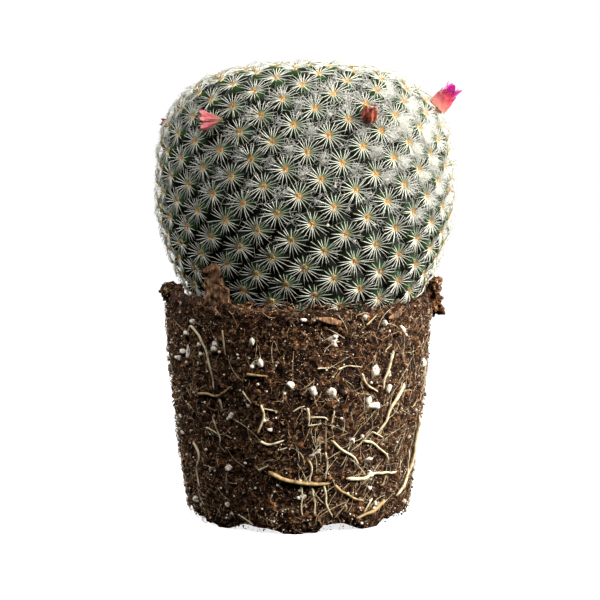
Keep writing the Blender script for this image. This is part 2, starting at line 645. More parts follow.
def ball_radius(angle, z):
    """Plain radius of the soil's side: a straight taper with a slight belly and slow lumps."""
    share = z / SOIL_LINE
    plain = BALL_BASE_RADIUS + (BALL_TOP_RADIUS - BALL_BASE_RADIUS) * share
    plain = plain + BALL_BELLY * np.sin(math.pi * share)
    return plain + 0.8 * MM * soft_noise(round_axis(plain, angle, z), 13 * MM, 9)


def nearest_grain(points, size, seed=0):
    """Worley noise: the distance, in sizes, to the nearest of one random point in each cubic cell
    of this size, and a random number that belongs to that point."""
    scaled = points / size
    cell = np.floor(scaled)
    best = np.full(points.shape[:-1], 9.0)
    owner = np.zeros(points.shape[:-1])
    for step in itertools.product((-1, 0, 1), repeat=3):
        near = cell + step
        jitter = np.stack([chance(near, seed + k) for k in range(3)], axis=-1)
        gap = np.linalg.norm(scaled - near - jitter, axis=-1)
        closer = gap < best
        owner = np.where(closer, chance(near, seed + 3), owner)
        best = np.where(closer, gap, best)
    return best, owner


def crumbs(points):
    """Height of the soil's crumbs over its plain surface: a dome on each random grain, in three
    sizes, each dome of its own height."""
    total = 0.0
    for seed, (size, height) in enumerate(CRUMB_SIZES):
        distance, owner = nearest_grain(points, size, seed=10 * seed + 11)
        total = total + height * owner * np.clip(1 - (distance / 0.75) ** 2, 0, 1)
    return total - 0.6 * MM


def by_angle(angle, table):
    """A value by angle round the ball, straight between (degrees, mm) entries, with small lumps."""
    degrees, values = np.array(table).T
    around = (np.degrees(angle) + 180) % 360 - 180
    ring = np.stack([np.sin(angle), np.cos(angle), 0 * angle], axis=-1)
    lumps = 0.7 * soft_noise(ring, 0.13, 4) + 0.4 * soft_noise(ring, 0.06, 8)
    return (np.interp(around, degrees, values) + lumps) * MM


def relief(tree, shader, height, strength, depth, invert=False):
    """Bumps of this real depth where a height socket is high."""
    sockets = {"Strength": strength, "Distance": depth, "Height": height}
    bump = add_node(tree, "ShaderNodeBump", {"invert": invert}, sockets)
    tree.links.new(bump.outputs["Normal"], shader.inputs["Normal"])


# How far the lower edge has crumbled away upwards, and how far the rim stands above the soil line,
# as (degrees, mm).
BASE_LIFT = (
    (-180, 0.8), (-130, 2.0), (-90, 1.0), (-60, 0.8), (-50, 0.2), (-40, 0.4), (-30, 2.2),
    (-16, 2.4), (-7, 0.0), (10, 0.0), (13, 2.8), (28, 3.2), (33, 0.3), (46, 0.0), (50, 2.0),
    (64, 1.6), (90, 0.8), (130, 1.8), (180, 0.8),
)
RIM_RISE = (
    (-180, 0.5), (-100, 2.0), (-80, 4.6), (-56, 4.0), (-34, 1.4), (-12, -1.0), (0, -2.2),
    (18, -2.4), (34, -1.2), (48, 0.4), (66, 2.2), (80, 4.4), (98, 4.0), (120, 0.8), (180, 0.5),
)

ball_angle = np.arange(BALL_AROUND) * 2 * math.pi / BALL_AROUND
side_z = np.linspace(SOIL_LINE - BALL_EDGE, BALL_EDGE, BALL_SIDE_ROWS)[:, None]
side_r = ball_radius(ball_angle, side_z)
base_lift = np.maximum(by_angle(ball_angle, BASE_LIFT), 0)
rim_rise = by_angle(ball_angle, RIM_RISE)
crumble = np.clip(1 - side_z / FOOT_CRUMBLE, 0, 1)
shoulder = np.clip((side_z - SOIL_LINE + SHOULDER_HEIGHT) / SHOULDER_HEIGHT, 0, 1)
side_z = side_z + base_lift * crumble + rim_rise * shoulder**2
side_r = side_r - FOOT_UNDERCUT * crumble**2
top_share = np.concatenate([np.linspace(0.02, 0.78, 8), np.linspace(0.8, 0.985, 14)])[:, None]
top_r = side_r[0] * top_share
top_z = SOIL_LINE - 0.6 * MM * top_share**8 + rim_rise * top_share**4
stem_away = np.hypot(top_r * np.sin(ball_angle) - STEM_X, top_r * np.cos(ball_angle))
socket = np.clip((stem_away - SOCKET_RADIUS) / SOCKET_SLOPE, 0, 1)
top_z = top_z - SOCKET_DEPTH * (1 - socket * socket * (3 - 2 * socket))
foot_share = np.array([0.975, 0.92, 0.8, 0.6, 0.42, 0.3, 0.1])[:, None]
foot_r = side_r[-1] * foot_share
foot_z = np.array([1.0, 1.0, 1.0, 0.95, 0.7, 0, 0])[:, None] * base_lift
ball_r = np.concatenate([top_r, side_r, foot_r])
ball_z = np.concatenate([top_z, side_z, foot_z])
ball_rings = round_axis(ball_r, ball_angle, ball_z)
foot_out = np.array([0.9, 0.6, 0.3, 0, 0, 0, 0])[:, None]
lift_out = np.concatenate([top_share**12, 1 + 0 * side_z[:, :1], foot_out])
lift_up = np.concatenate([1 - 0.5 * top_share**12, 0 * side_z[:, :1], 0 * foot_out])
crumb = crumbs(ball_rings)
ball_rings[..., 0] += crumb * lift_out * np.sin(ball_angle)
ball_rings[..., 1] -= crumb * lift_out * np.cos(ball_angle)
ball_rings[..., 2] += crumb * lift_up
ball_rings[..., 2] = np.maximum(ball_rings[..., 2], 0)
ball_points, ball_faces = turned_surface(
    ball_rings, (0, 0, ball_rings[0, :, 2].mean()), (0, 0, 0)
)
ball_crumb = np.append(crumb, [0, 0])

# Potting soil: dark fibrous peat, matt, with crumbs 1.2 mm and 0.45 mm across from nearly black to
# cream. Pits stay dark, since little light reaches them.
peat, tree, shader = new_material("peat_potting_soil", Roughness=0.95, Specular_IOR_Level=0.15)
where = add_node(tree, "ShaderNodeTexCoord").outputs["Object"]
crumb_cells = [
    add_node(tree, "ShaderNodeTexVoronoi", None, {"Vector": where, "Scale": 1 / size})
    for size in (1.2 * MM, 0.45 * MM)
]
coarse_tone, fine_tone = (
    add_node(tree, "ShaderNodeSeparateColor", None, {0: cells.outputs["Color"]}).outputs
    for cells in crumb_cells
)
tone = maths(tree, "MULTIPLY_ADD", fine_tone[0], 0.9, coarse_tone[1])
peat_stops = (
    (0.0, "0A0604"), (0.34, "22150E"), (0.54, "4C2E1A"), (0.72, "804F2C"), (0.86, "B58858"),
    (1.0, "EFE4D0"),
)
peat_colour = graded(tree, peat_stops, maths(tree, "DIVIDE", tone, 1.85))
pit_stops = ((0.0, "2A2A2A"), (0.45, "A0A0A0"), (1.0, "FFFFFF"))
pit = graded(tree, pit_stops, attribute(tree, "raised"))
pitted_colour = mixed_colour(tree, "MULTIPLY", 1.0, peat_colour, pit)
tree.links.new(pitted_colour, shader.inputs["Base Color"])
relief(tree, shader, crumb_cells[1].outputs["Distance"], 0.9, 0.35 * MM, invert=True)

soil_body = mesh_piece(
    "soil_body", ball_points, ball_faces, peat, {"raised": 0.5 + ball_crumb / (2.2 * MM)}
)
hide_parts("root_ball")


def on_soil(angle, z, lift):
    """A point this far out from the soil's plain side."""
    return round_axis(ball_radius(angle, z) + lift, angle, z)


# ---------------------------------------------------------------- rim clumps
# Three crumbs of the same soil that cling to the rim: a long one at the left, one behind, and one
# that climbs the stem at the right.

# Each clump: how far its middle moves right and up from the solid's, how much wider, deeper and
# taller than the solid it is, and how pale its crumbs are.
CLUMPS = {
    "soil_clump_left": ((-1.2, 0.8), (1.15, 1.0, 1.3), 0.75),
    "soil_clump_back": ((0.0, 0.0), (1.0, 1.0, 1.0), 0.6),
    "soil_clump_right": ((-2.4, -2.0), (1.5, 1.3, 1.25), 0.9),
}
clump_samples = []
for name, ((right, up), stretch, pale) in CLUMPS.items():
    low, high = (np.array(corner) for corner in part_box(name))
    template, clump_faces = ball_template(46, 64)
    middle = 0.5 * (low + high) + np.array([right, 0, up]) * MM
    half = 0.5 * (high - low) * stretch
    plain = middle + template * half * 0.97
    swell = 2.0 * crumbs(plain) + 1.3 * MM * soft_noise(plain, 3.2 * MM, 6)
    clump_points = plain + swell[:, None] * template
    piece = mesh_piece(
        name + "_crumb", clump_points, clump_faces, peat, {"raised": pale + swell / (2.5 * MM)}
    )
    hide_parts(name)
    clump_samples.append(clump_points)
clump_surface = np.concatenate(clump_samples)

# ---------------------------------------------------------------- soil grains
# Loose crumbs of peat, bark dust and coir that stand out of the root ball's side and rim.

# Each size of grain: counts on the side, on the rim and on the clumps, middle half-size and its
# spread, largest, rows and corners of its shape, and how bright the palest are.
GRAIN_SIZES = {
    "soil_crumbs": ((1700, 420, 260), 0.36, 0.40, 1.0, (2, 6), 0.8),
    "soil_specks": ((25000, 2600, 1600), 0.16, 0.32, 0.36, (1, 3), 1.0),
}
# Loose peat and bark dust: dry crumbs, each of one colour from near black through brown to tan.
loose_peat, tree, shader = new_material("loose_peat_crumb", Roughness=0.92, Specular_IOR_Level=0.2)
crumb_stops = (
    (0.0, "100A07"), (0.35, "321E12"), (0.58, "633D22"), (0.78, "9A6C40"), (0.91, "C2A47C"),
    (1.0, "F1E9D8"),
)
graded(tree, crumb_stops, attribute(tree, "tone"), shader)

for name, (counts, middle, spread, largest, shape, palest) in GRAIN_SIZES.items():
    on_side, on_rim, on_clumps = counts
    angle = rng.uniform(-math.pi, math.pi, on_side)
    height = rng.uniform(1.2 * MM, 75.5 * MM, on_side)
    side_places = on_soil(angle, height, rng.normal(0.3, 0.3, on_side) * MM)
    angle = rng.uniform(-math.pi, math.pi, on_rim)
    radius = rng.uniform(0.037, 0.0475, on_rim)
    height = SOIL_LINE + rng.normal(0.2, 0.6, on_rim) * MM
    rim_places = round_axis(radius, angle, height)
    clump_places = clump_surface[rng.integers(0, len(clump_surface), on_clumps)]
    places = np.concatenate([side_places, rim_places, clump_places])
    size = rng.lognormal(math.log(middle), spread, (len(places), 1))
    size = np.clip(size, 0.1, largest) * rng.uniform(0.55, 1.4, (len(places), 3)) * MM
    template = ball_template(*shape)
    points, faces = strewn(template, places, size)
    points[:, 2] = np.maximum(points[:, 2], 0)
    tone = np.repeat(rng.uniform(0, palest, len(places)), len(template[0]))
    piece = mesh_piece(name, points, faces, loose_peat, {"tone": tone}, False)

# ---------------------------------------------------------------- perlite
# Expanded volcanic glass mixed into the soil: white angular grains with small pits, from specks to
# 4 mm, dusted brown where soil clings to them.

PERLITE_NODES = [f"perlite_grain_{number:02d}" for number in range(1, 14)]
# Smaller grains that only show at the surface: degrees round the ball, height and size in mm.
SMALL_GRAINS = np.array(
    [
        (-58, 60, 2.1), (48, 68, 2.4), (31, 45, 1.8), (-15, 58, 1.7), (-18, 57, 1.5),
        (-63, 57, 1.8), (-54, 66, 1.9), (24, 32, 1.8), (33, 25, 1.8), (-12, 36, 1.6),
        (-33, 22, 1.7), (-76, 19, 1.8), (-83, 4, 2.0), (-60, 8, 1.7), (-3, 51, 1.8),
        (42, 48, 2.1), (70, 55, 2.0), (96, 40, 2.2), (110, 22, 1.9), (143, 64, 2.3),
        (171, 50, 1.8), (190, 30, 2.4), (222, 55, 2.1), (238, 24, 1.9), (256, 44, 2.2),
    ]
)
LOOSE_GRAINS = 70
BREAKS = 8
loose_angle = rng.uniform(-math.pi, math.pi, LOOSE_GRAINS)
loose_z = rng.uniform(3, 73, LOOSE_GRAINS)
loose_mm = rng.uniform(0.8, 1.8, LOOSE_GRAINS)
loose = np.stack([np.degrees(loose_angle), loose_z, loose_mm], axis=-1)
SMALL_GRAINS = np.concatenate([SMALL_GRAINS, loose])
SPECKS = 1200
perlite_boxes = np.array([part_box(name) for name in PERLITE_NODES])
small_places = on_soil(np.radians(SMALL_GRAINS[:, 0]), SMALL_GRAINS[:, 1] * MM, 0.3 * MM)
small_half = 0.5 * SMALL_GRAINS[:, 2:] * MM * rng.uniform(0.7, 1.25, (len(SMALL_GRAINS), 3))
pebble_places = np.concatenate([perlite_boxes.mean(axis=1), small_places])
pebble_half = np.concatenate([0.5 * np.ptp(perlite_boxes, axis=1) * 1.04, small_half])
pebble_template = ball_template(11, 16)
pebble_points, pebble_faces = scattered(
    pebble_template, pebble_places, np.eye(3) * pebble_half[:, :, None]
)
pebble_middle = np.repeat(pebble_places, len(pebble_template[0]), axis=0)
# Broken faces: each grain is cut by flat faces at random turns, 0.45 to 1 of its half-size out.
break_way = random_axes(BREAKS * len(pebble_places))[:, 0].reshape(-1, BREAKS, 3)
break_reach = rng.uniform(0.45, 1.0, (len(pebble_places), 1, BREAKS))
facing_break = np.einsum("vj,nkj->nvk", pebble_template[0], break_way)
broken = (break_reach / np.maximum(facing_break, 0.05)).min(axis=2).clip(0, 1.2).ravel()
pitted, _ = nearest_grain(pebble_points, 0.6 * MM, 37)
bulge = 1.25 * broken + 0.35 * np.clip(pitted - 0.5, -0.35, 0.3)
pebble_points = pebble_middle + (pebble_points - pebble_middle) * bulge[:, None]

speck_angle = rng.uniform(-math.pi, math.pi, SPECKS)
speck_z = rng.uniform(2 * MM, 74 * MM, SPECKS)
speck_places = on_soil(speck_angle, speck_z, rng.uniform(0.1, 0.7, SPECKS) * MM)
speck_size = np.clip(rng.lognormal(math.log(0.22), 0.5, (SPECKS, 1)), 0.12, 0.8) * MM
speck_size = speck_size * rng.uniform(0.7, 1.2, (SPECKS, 3))
speck_points, speck_faces = strewn(ball_template(2, 6), speck_places, speck_size)

# Perlite: a brittle white foam of glass, matt, with patches of brown dust.
foam_glass, tree, shader = new_material("expanded_perlite", Roughness=0.85)
stain_stops = ((0.32, "8A745A"), (0.44, "C9BCA6"), (0.56, "EAE3D6"), (1.0, "F4F0E8"))
graded(tree, stain_stops, noise(tree, 0.9 * MM, 4.0), shader)
perlite_grains = mesh_piece(
    "perlite_grains", pebble_points, pebble_faces, foam_glass, None, False
)
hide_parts(*PERLITE_NODES)
perlite_specks = mesh_piece("perlite_specks", speck_points, speck_faces, foam_glass, None, False)

# ---------------------------------------------------------------- fibres
# Coir and peat fibres: brown threads a few millimetres long that curl off the soil everywhere.

FIBRES = 4200
FIBRE_STEPS = np.linspace(0, 1, 6)
FIBRE_LENGTH_MM = (1.4, 5.5)
FIBRE_RADIUS_MM = (0.03, 0.075)
WRAP_RADIUS = 0.043
LEVEL = np.array([1, 1, 0])


def soil_strands(angle, z, heading, length, curl, lift):
    """Paths over the soil's side: each starts at an angle and height, sets out on a heading, and
    turns by curl radians on its way; lift gives its height over the soil at each step."""
    steps = lift.shape[1]
    share = np.linspace(0, 1, steps)
    way = heading[:, None] + curl[:, None] * (share - 0.5) * 2
    stride = (length / (steps - 1))[:, None]
    across = np.cumsum(np.cos(way), axis=1) * stride
    rise = np.cumsum(np.sin(way), axis=1) * stride
    height = np.clip(z[:, None] + rise, 0.8 * MM, 75.5 * MM)
    return on_soil(angle[:, None] + across / WRAP_RADIUS, height, lift)


fibre_lift = rng.uniform(0.2, 0.7, (FIBRES, 1)) + rng.uniform(0.1, 0.8, (FIBRES, 1)) * np.sin(
    math.pi * FIBRE_STEPS
)
fibre_lift = fibre_lift * MM
fibre_paths = soil_strands(
    rng.uniform(-math.pi, math.pi, FIBRES),
    rng.uniform(2, 75, FIBRES) * MM,
    rng.uniform(0, 2 * math.pi, FIBRES),
    rng.uniform(*FIBRE_LENGTH_MM, FIBRES) * MM,
    rng.normal(0, 0.45, FIBRES),
    fibre_lift,
)
fibre_radii = rng.uniform(*FIBRE_RADIUS_MM, (FIBRES, 1)) * MM * [0.5, 1, 1, 1, 0.9, 0.4]
fibre_points, fibre_faces, _ = strands(fibre_paths, fibre_radii, fibre_paths[:, 0] * LEVEL)
fibre_tone = np.repeat(rng.uniform(0, 1, FIBRES), len(FIBRE_STEPS) * 3)

# Coir: husk fibre, matt, straw to dark brown from one thread to the next.
coir, tree, shader = new_material("coir_and_peat_fibre", Roughness=0.8)
coir_stops = ((0.0, "2E1C10"), (0.4, "7A5030"), (0.75, "B58C5C"), (1.0, "E2CDA4"))
graded(tree, coir_stops, attribute(tree, "tone"), shader)
mesh_piece("soil_fibres", fibre_points, fibre_faces, coir, {"tone": fibre_tone})

# ---------------------------------------------------------------- roots
# Living roots that ran along the inside of the pot: cream ones and a few golden, woody ones, round
# and thinner towards their ends, pressed into the crumbs they grew through.

# Each root: node, colour, thickness mm, and its way over the soil as (degrees, height mm).
ROOTS = (
    ("root_left_strand", "cream", 0.9, ((-50, 69), (-44, 66), (-40, 60), (-38, 55), (-37, 48.5))),
    ("root_antler", "gold", 1.1, ((-48, 46), (-41, 46.5), (-35, 46.5), (-28, 50))),
    ("root_stub_gold", "gold", 1.0, ((-21, 54.5), (-12, 53.8))),
    ("root_upper_left", "cream", 0.7, ((-31, 68), (-30, 59.5))),
    ("root_hook", "cream", 0.9, ((-15, 44.5), (-14.5, 41), (-16, 37), (-17.5, 34.5))),
    ("root_pale_curl", "cream", 1.0, ((-16, 32), (-12, 31), (-6, 32.5))),
    ("root_main", "gold", 1.7, ((-13, 22), (-6, 19.5), (2, 18), (9, 17.8), (14, 18))),
    ("root_main_fork_a", "cream", 0.8, ((1.2, 17.8), (1.9, 14), (1.6, 11), (2.6, 7))),
    ("root_main_fork_b", "cream", 0.8, ((5.6, 17.6), (6.6, 14), (7.8, 11), (8, 7.4))),
    ("root_main_fork_c", "cream", 0.8, ((11.4, 17.8), (12.8, 14), (13.4, 10), (16.4, 6))),
    ("root_main_fork_d", "gold", 1.2, ((16.6, 17.6), (20.5, 15), (26, 12), (33, 10.5))),
    ("root_drop_front", "cream", 0.8, ((5, 25.6), (6.2, 22.5), (5, 18.6))),
    ("root_drop_right", "cream", 0.7, ((12, 28.6), (12.6, 24), (12.2, 18.6))),
    ("root_ring_right", "cream", 1.3, ((22, 19.5), (31, 18.5), (39, 20), (54, 18.5))),
    ("root_arch_low", "cream", 1.0, ((14, 32.5), (19, 29), (25, 26.5), (28, 23.5))),
    ("root_arch_high", "cream", 1.0, ((29, 31.5), (35, 30), (41, 27), (46, 23))),
    ("root_long_right", "cream", 1.2, ((52, 49), (45, 43), (41, 37), (36, 33))),
    ("root_upper_right", "cream", 1.0, ((43, 61), (41, 56), (38.5, 51), (38, 48))),
    ("root_bend_right", "cream", 0.9, ((27, 54), (30, 50), (36, 47.6))),
    ("root_edge_right", "cream", 1.6, ((72, 36), (71, 27), (70, 19), (63, 14), (55, 10))),
    ("root_foot_right", "gold", 1.5, ((46, 9.5), (39, 6.5), (29, 5))),
    ("root_fork_front", "cream", 1.0, ((4, 43.5), (4.5, 40), (4, 36.5))),
    ("root_left_side", "cream", 0.9, ((-56, 29), (-52, 24), (-55, 19), (-53, 13))),
    ("root_back_left", "gold", 1.3, ((214, 50), (206, 41), (210, 30), (200, 18))),
    ("root_back_right", "cream", 1.1, ((128, 48), (138, 38), (134, 26), (146, 14))),
    ("root_back_ring", "cream", 1.2, ((158, 16), (170, 13), (184, 16), (194, 12))),
)
# Finer branches with no solid of their own: thickness mm and way, all cream.
FINE_ROOTS = (
    (0.6, ((-18, 22), (-13, 24))), (0.5, ((-8, 29), (-5, 30))), (0.6, ((34, 34), (40, 32))),
    (0.6, ((42, 63), (39, 61))), (0.5, ((8, 56), (13, 56))), (0.5, ((16, 56), (21, 57), (27, 56))),
    (0.6, ((28, 70), (32, 73))), (0.6, ((-40, 39), (-37, 32), (-37, 30))),
    (0.6, ((-44, 35), (-38, 33))), (0.6, ((-30, 6), (-22, 3))), (0.7, ((38, 11), (34, 7))),
    (0.6, ((45, 18), (43, 15))), (0.7, ((64, 25), (66, 17), (64, 11))),
    (0.6, ((4, 40), (11, 40), (13, 39))), (0.5, ((5, 37), (10, 38))), (0.5, ((15, 42), (14, 38))),
    (0.5, ((14, 36), (16, 37), (20, 36))), (0.5, ((-2, 42), (3, 44))),
    (0.5, ((-23, 49), (-19, 44))), (0.7, ((-83, 40), (-65, 43))), (0.6, ((-50, 69), (-55, 65))),
    (0.5, ((-15, 43), (-9, 42))), (0.8, ((-35, 45), (-34, 42))),
)
ROOT_STEPS = 48
ROOT_LIFT = 0.35 * MM


def smooth_way(points):
    """Catmull-Rom curve through (degrees, mm) points at even steps, as angle and height."""
    known = np.array(points, float)
    known = np.vstack([2 * known[0] - known[1], known, 2 * known[-1] - known[-2]])
    span = np.linspace(0, len(points) - 1 - 1e-9, ROOT_STEPS)
    start, t = span.astype(int), (span % 1)[:, None]
    a, b, c, d = (known[start + k] for k in range(4))
    way = 0.5 * (2 * b + (c - a) * t + (2 * a - 5 * b + 4 * c - d) * t**2)
    way += 0.5 * (3 * b - 3 * c + d - a) * t**3
    return np.radians(way[:, 0]), way[:, 1] * MM


def root_mesh(thickness_mm, points, seed):
    """A round tube along a smooth way, with slow swellings, a small wander and closed tapered
    ends, standing on the soil by its own radius."""
    angle, z = smooth_way(points)
    share = np.linspace(0, 1, ROOT_STEPS)
    ends = np.clip(np.minimum(share, 1 - share) * 14 + 0.25, 0, 1)
    radius = 0.5 * thickness_mm * MM * (1 - 0.45 * share) * ends
    plain = on_soil(angle, z, radius + ROOT_LIFT)
    wander = np.stack([soft_noise(plain, 4 * MM, seed + k) for k in range(3)], axis=-1)
    plain = plain + 0.45 * MM * wander
    radius = radius * (1 + 0.16 * soft_noise(plain, 1.6 * MM, seed + 3))
    return strands(plain[None], radius[None], plain[:1] * LEVEL, sides=9)


# Root bark: a soft matt skin with fine wrinkles, cream where it is young, and brown scars.
ROOT_SKINS = {
    "cream": ("young_root_skin", ((0.3, "8C7350"), (0.45, "C8B68E"), (0.7, "E2D6B6"))),
    "gold": ("woody_root_skin", ((0.3, "5A452A"), (0.45, "8F7446"), (0.7, "BCA06C"))),
}
root_made = {}
for colour, (made_name, stops) in ROOT_SKINS.items():
    root_made[colour], tree, shader = new_material(made_name, Roughness=0.6)
    scars = noise(tree, 1.8 * MM, 5.0)
    graded(tree, stops, scars, shader)
    relief(tree, shader, scars, 0.5, 0.15 * MM)

for number, (node, colour, thickness, way) in enumerate(ROOTS):
    points, faces, _ = root_mesh(thickness, way, 40 + 5 * number)
    piece = mesh_piece(node + "_skin", points, faces, root_made[colour])
    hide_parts(node)

fine_points, fine_quads, fine_caps, count = [], [], [], 0
for number, (thickness, way) in enumerate(FINE_ROOTS):
    points, (quads, caps), _ = root_mesh(thickness, way, 300 + 5 * number)
    fine_points.append(points)
    fine_quads.append(quads + count)
    fine_caps.append(caps + count)
    count += len(points)
fine_roots = mesh_piece(
    "fine_roots",
    np.concatenate(fine_points),
    [np.concatenate(fine_quads), np.concatenate(fine_caps)],
    root_made["cream"],
)

# Rootlets: the finest roots, most crowded at the lower right.
ROOTLETS = 220
dense = rng.random(ROOTLETS) < 0.45
rootlet_angle = np.where(
    dense, rng.uniform(0.0, 1.25, ROOTLETS), rng.uniform(-math.pi, math.pi, ROOTLETS)
)
rootlet_reach = 29 + 28 * np.clip((rootlet_angle - 0.5) / 0.5, 0, 1)
rootlet_z = np.where(
    dense, 5 + rootlet_reach * rng.random(ROOTLETS), rng.uniform(4, 72, ROOTLETS)
) * MM
rootlet_share = np.linspace(0, 1, 10)
rootlet_lift = rng.uniform(0.2, 0.7, (ROOTLETS, 1)) + rng.uniform(0, 0.5, (ROOTLETS, 1)) * np.sin(
    math.pi * rootlet_share
)
rootlet_paths = soil_strands(
    rootlet_angle,
    rootlet_z,
    np.where(dense, rng.normal(1.1, 0.7, ROOTLETS), rng.uniform(0, 2 * math.pi, ROOTLETS)),
    rng.uniform(4, 11, ROOTLETS) * MM,
    rng.normal(0, 0.4, ROOTLETS),
    rootlet_lift * MM,
)
rootlet_radii = rng.uniform(0.06, 0.14, (ROOTLETS, 1)) * MM * (1 - 0.6 * rootlet_share)
points, faces, _ = strands(rootlet_paths, rootlet_radii, rootlet_paths[:, 0] * LEVEL, sides=4)
rootlets = mesh_piece("rootlets", points, faces, root_made["cream"])

# ---------------------------------------------------------------- bark
# Splinters of composted pine bark: a broad shard that stands between stem and soil at the left and
# two slivers that lie in the soil's upper side.

# Pine bark: layered, brown, fibrous and matt, with lighter worn ridges every half millimetre.
pine_bark, tree, shader = new_material("composted_pine_bark", Roughness=0.88)
where = add_node(tree, "ShaderNodeTexCoord").outputs["Object"]
upright = add_node(tree, "ShaderNodeMapping", None, {"Vector": where, "Scale": (1, 1, 0.3)})
bark_grain = noise(tree, 0.9 * MM, 6.0, upright.outputs["Vector"])
bark_stops = ((0.3, "24170E"), (0.43, "583A23"), (0.56, "835C3B"), (0.7, "B8946A"))
graded(tree, bark_stops, bark_grain, shader)
relief(tree, shader, bark_grain, 1.0, 0.5 * MM)

SHARD_ANGLE = math.radians(-38)
SHARD_FOOT, SHARD_HEIGHT = SOIL_LINE - 1.0 * MM, 0.0142
SHARD_WIDTH, SHARD_THICK = 0.0112, 0.0026
SHARD_OUT, SHARD_LEAN, SHARD_SKEW = 0.0459, 0.0030, -0.0012
SHARD_ROWS, SHARD_AROUND = 40, 48
# Broken relief: depth mm, size of its lumps mm and its seeds.
SHARD_RELIEF = ((0.9, 3.0, (21, 22, 23)), (0.7, 1.0, (24, 25, 26)))
shard_up = np.linspace(0, 1, SHARD_ROWS)[::-1, None]
shard_turn = np.arange(SHARD_AROUND) * 2 * math.pi / SHARD_AROUND
shard_across = np.sign(np.cos(shard_turn)) * np.abs(np.cos(shard_turn)) ** 0.7
shard_across = shard_across * 0.5 * SHARD_WIDTH * (1 - 0.38 * shard_up**1.5)
shard_across = shard_across + SHARD_SKEW * shard_up
shard_through = np.sin(shard_turn) * 0.5 * SHARD_THICK * (1 - 0.5 * shard_up)
shard_side = np.array([math.cos(SHARD_ANGLE), math.sin(SHARD_ANGLE), 0])
shard_out = np.array([math.sin(SHARD_ANGLE), -math.cos(SHARD_ANGLE), 0])
shard_rings = (
    np.array([STEM_X, 0, SHARD_FOOT])
    + shard_across[..., None] * shard_side
    + (SHARD_OUT - shard_through + SHARD_LEAN * shard_up)[..., None] * shard_out
    + (SHARD_HEIGHT * shard_up[..., None]) * np.array([0, 0, 1])
)
shard_rings = shard_rings + sum(
    amount * MM * np.stack([soft_noise(shard_rings, size * MM, seed) for seed in seeds], axis=-1)
    for amount, size, seeds in SHARD_RELIEF
)
shard_top = shard_rings[0].mean(axis=0)
shard_points, shard_faces = turned_surface(shard_rings, shard_top, shard_rings[-1].mean(axis=0))
bark_shard = mesh_piece("bark_shard_grain", shard_points, shard_faces, pine_bark)
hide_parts("bark_shard")

# Each sliver: node, its two ends as (degrees, height mm) and its half width in mm.
SLIVERS = (
    ("bark_sliver_front", ((8, 72.5), (17, 71.0)), 1.1),
    ("bark_sliver_right", ((38, 72.0), (45, 73.5)), 1.0),
)
SLIVER_SIDES = 14
for node, ends, width in SLIVERS:
    angle, z = smooth_way(ends)
    share = np.linspace(0, 1, ROOT_STEPS)
    radius = width * MM * np.sin(math.pi * (0.06 + 0.88 * share)) ** 0.7
    plain = on_soil(angle, z, 1.4 * MM)
    points, faces, _ = strands(plain[None], radius[None], plain[:1] * LEVEL, SLIVER_SIDES)
    flat = np.repeat(plain, SLIVER_SIDES, axis=0)
    outward = flat * LEVEL / np.hypot(flat[:, 0], flat[:, 1])[:, None]
    depth = np.einsum("ni,ni->n", points - flat, outward)
    points = points - 0.6 * depth[:, None] * outward
    points = points + 0.2 * MM * soft_noise(points, 0.9 * MM, 25)[:, None] * outward
    piece = mesh_piece(node + "_grain", points, faces, pine_bark)
    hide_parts(node)

# ---------------------------------------------------------------- open flower
# One flower at the upper right, half furled: a fleshy tube, widest a little above its middle, two
# rows of ragged sepals, then pointed magenta petals rolled round each other.

FLOWER_FOOT = np.array([45.1, -16.0, 140.3]) * MM
FLOWER_AHEAD = np.array([0.654, -0.182, 0.734])
TUBE_WAY = np.array([0, 1.4, 3.2, 5.0, 6.6, 7.8, 8.8])
TUBE_RADIUS = np.array([0.5, 1.2, 2.3, 3.2, 3.1, 2.6, 2.0])
TUBE_LENGTH = TUBE_WAY[-1]
SEPALS, OUTER_PETALS, INNER_PETALS = 7, 5, 3
# Each row of blades, in mm: see blade() for what its numbers mean.
BLADES = {
    "lower_sepal": dict(start=3.8, radius=3.3, width=1.9, flare=-0.25, tip=0.8, thick=0.2, frill=0.15),
    "upper_sepal": dict(start=5.2, radius=2.9, width=1.7, flare=0.0, tip=0.8, thick=0.2, frill=0.1),
    "outer_petal": dict(
        start=6.4, radius=2.2, width=1.75, flare=0.75, tip=0.75, thick=0.16, frill=0.12
    ),
    "inner_petal": dict(
        start=6.6, radius=1.3, width=1.5, flare=0.1, tip=0.75, thick=0.16, frill=0.1
    ),
}


def axis_frame(direction):
    """A unit direction and two unit vectors square to it, right-handed in that order."""
    ahead = np.array(direction) / np.linalg.norm(direction)
    side = np.cross(ahead, [0, 1, 0])
    side /= np.linalg.norm(side)
    return ahead, side, np.cross(ahead, side)


def along_axis(foot, frame_axes, way, radius, turn):
    """Points way mm along an axis from foot and radius mm out from it, at this turn about it."""
    ahead, side, other = frame_axes
    out = np.cos(turn)[..., None] * side + np.sin(turn)[..., None] * other
    return foot + (way[..., None] * ahead + radius[..., None] * out) * MM


flower_axes = axis_frame(FLOWER_AHEAD)
tube_way = np.linspace(TUBE_LENGTH, 0.05, 40)[:, None] + np.zeros(60)
tube_turn = np.arange(60) * 2 * math.pi / 60 + 0 * tube_way
tube_radius = np.interp(tube_way, TUBE_WAY, TUBE_RADIUS)
tube_radius = tube_radius * (1 + 0.05 * np.cos(9 * tube_turn + 0.35 * tube_way))
tube_rings = along_axis(FLOWER_FOOT, flower_axes, tube_way, tube_radius, tube_turn)
tube_ends = [FLOWER_FOOT + way * MM * flower_axes[0] for way in (8.2, 0.0)]
tube_points, tube_faces = turned_surface(tube_rings, *tube_ends)
tube_share = np.append(tube_way / TUBE_LENGTH, [0.9, 0.0])


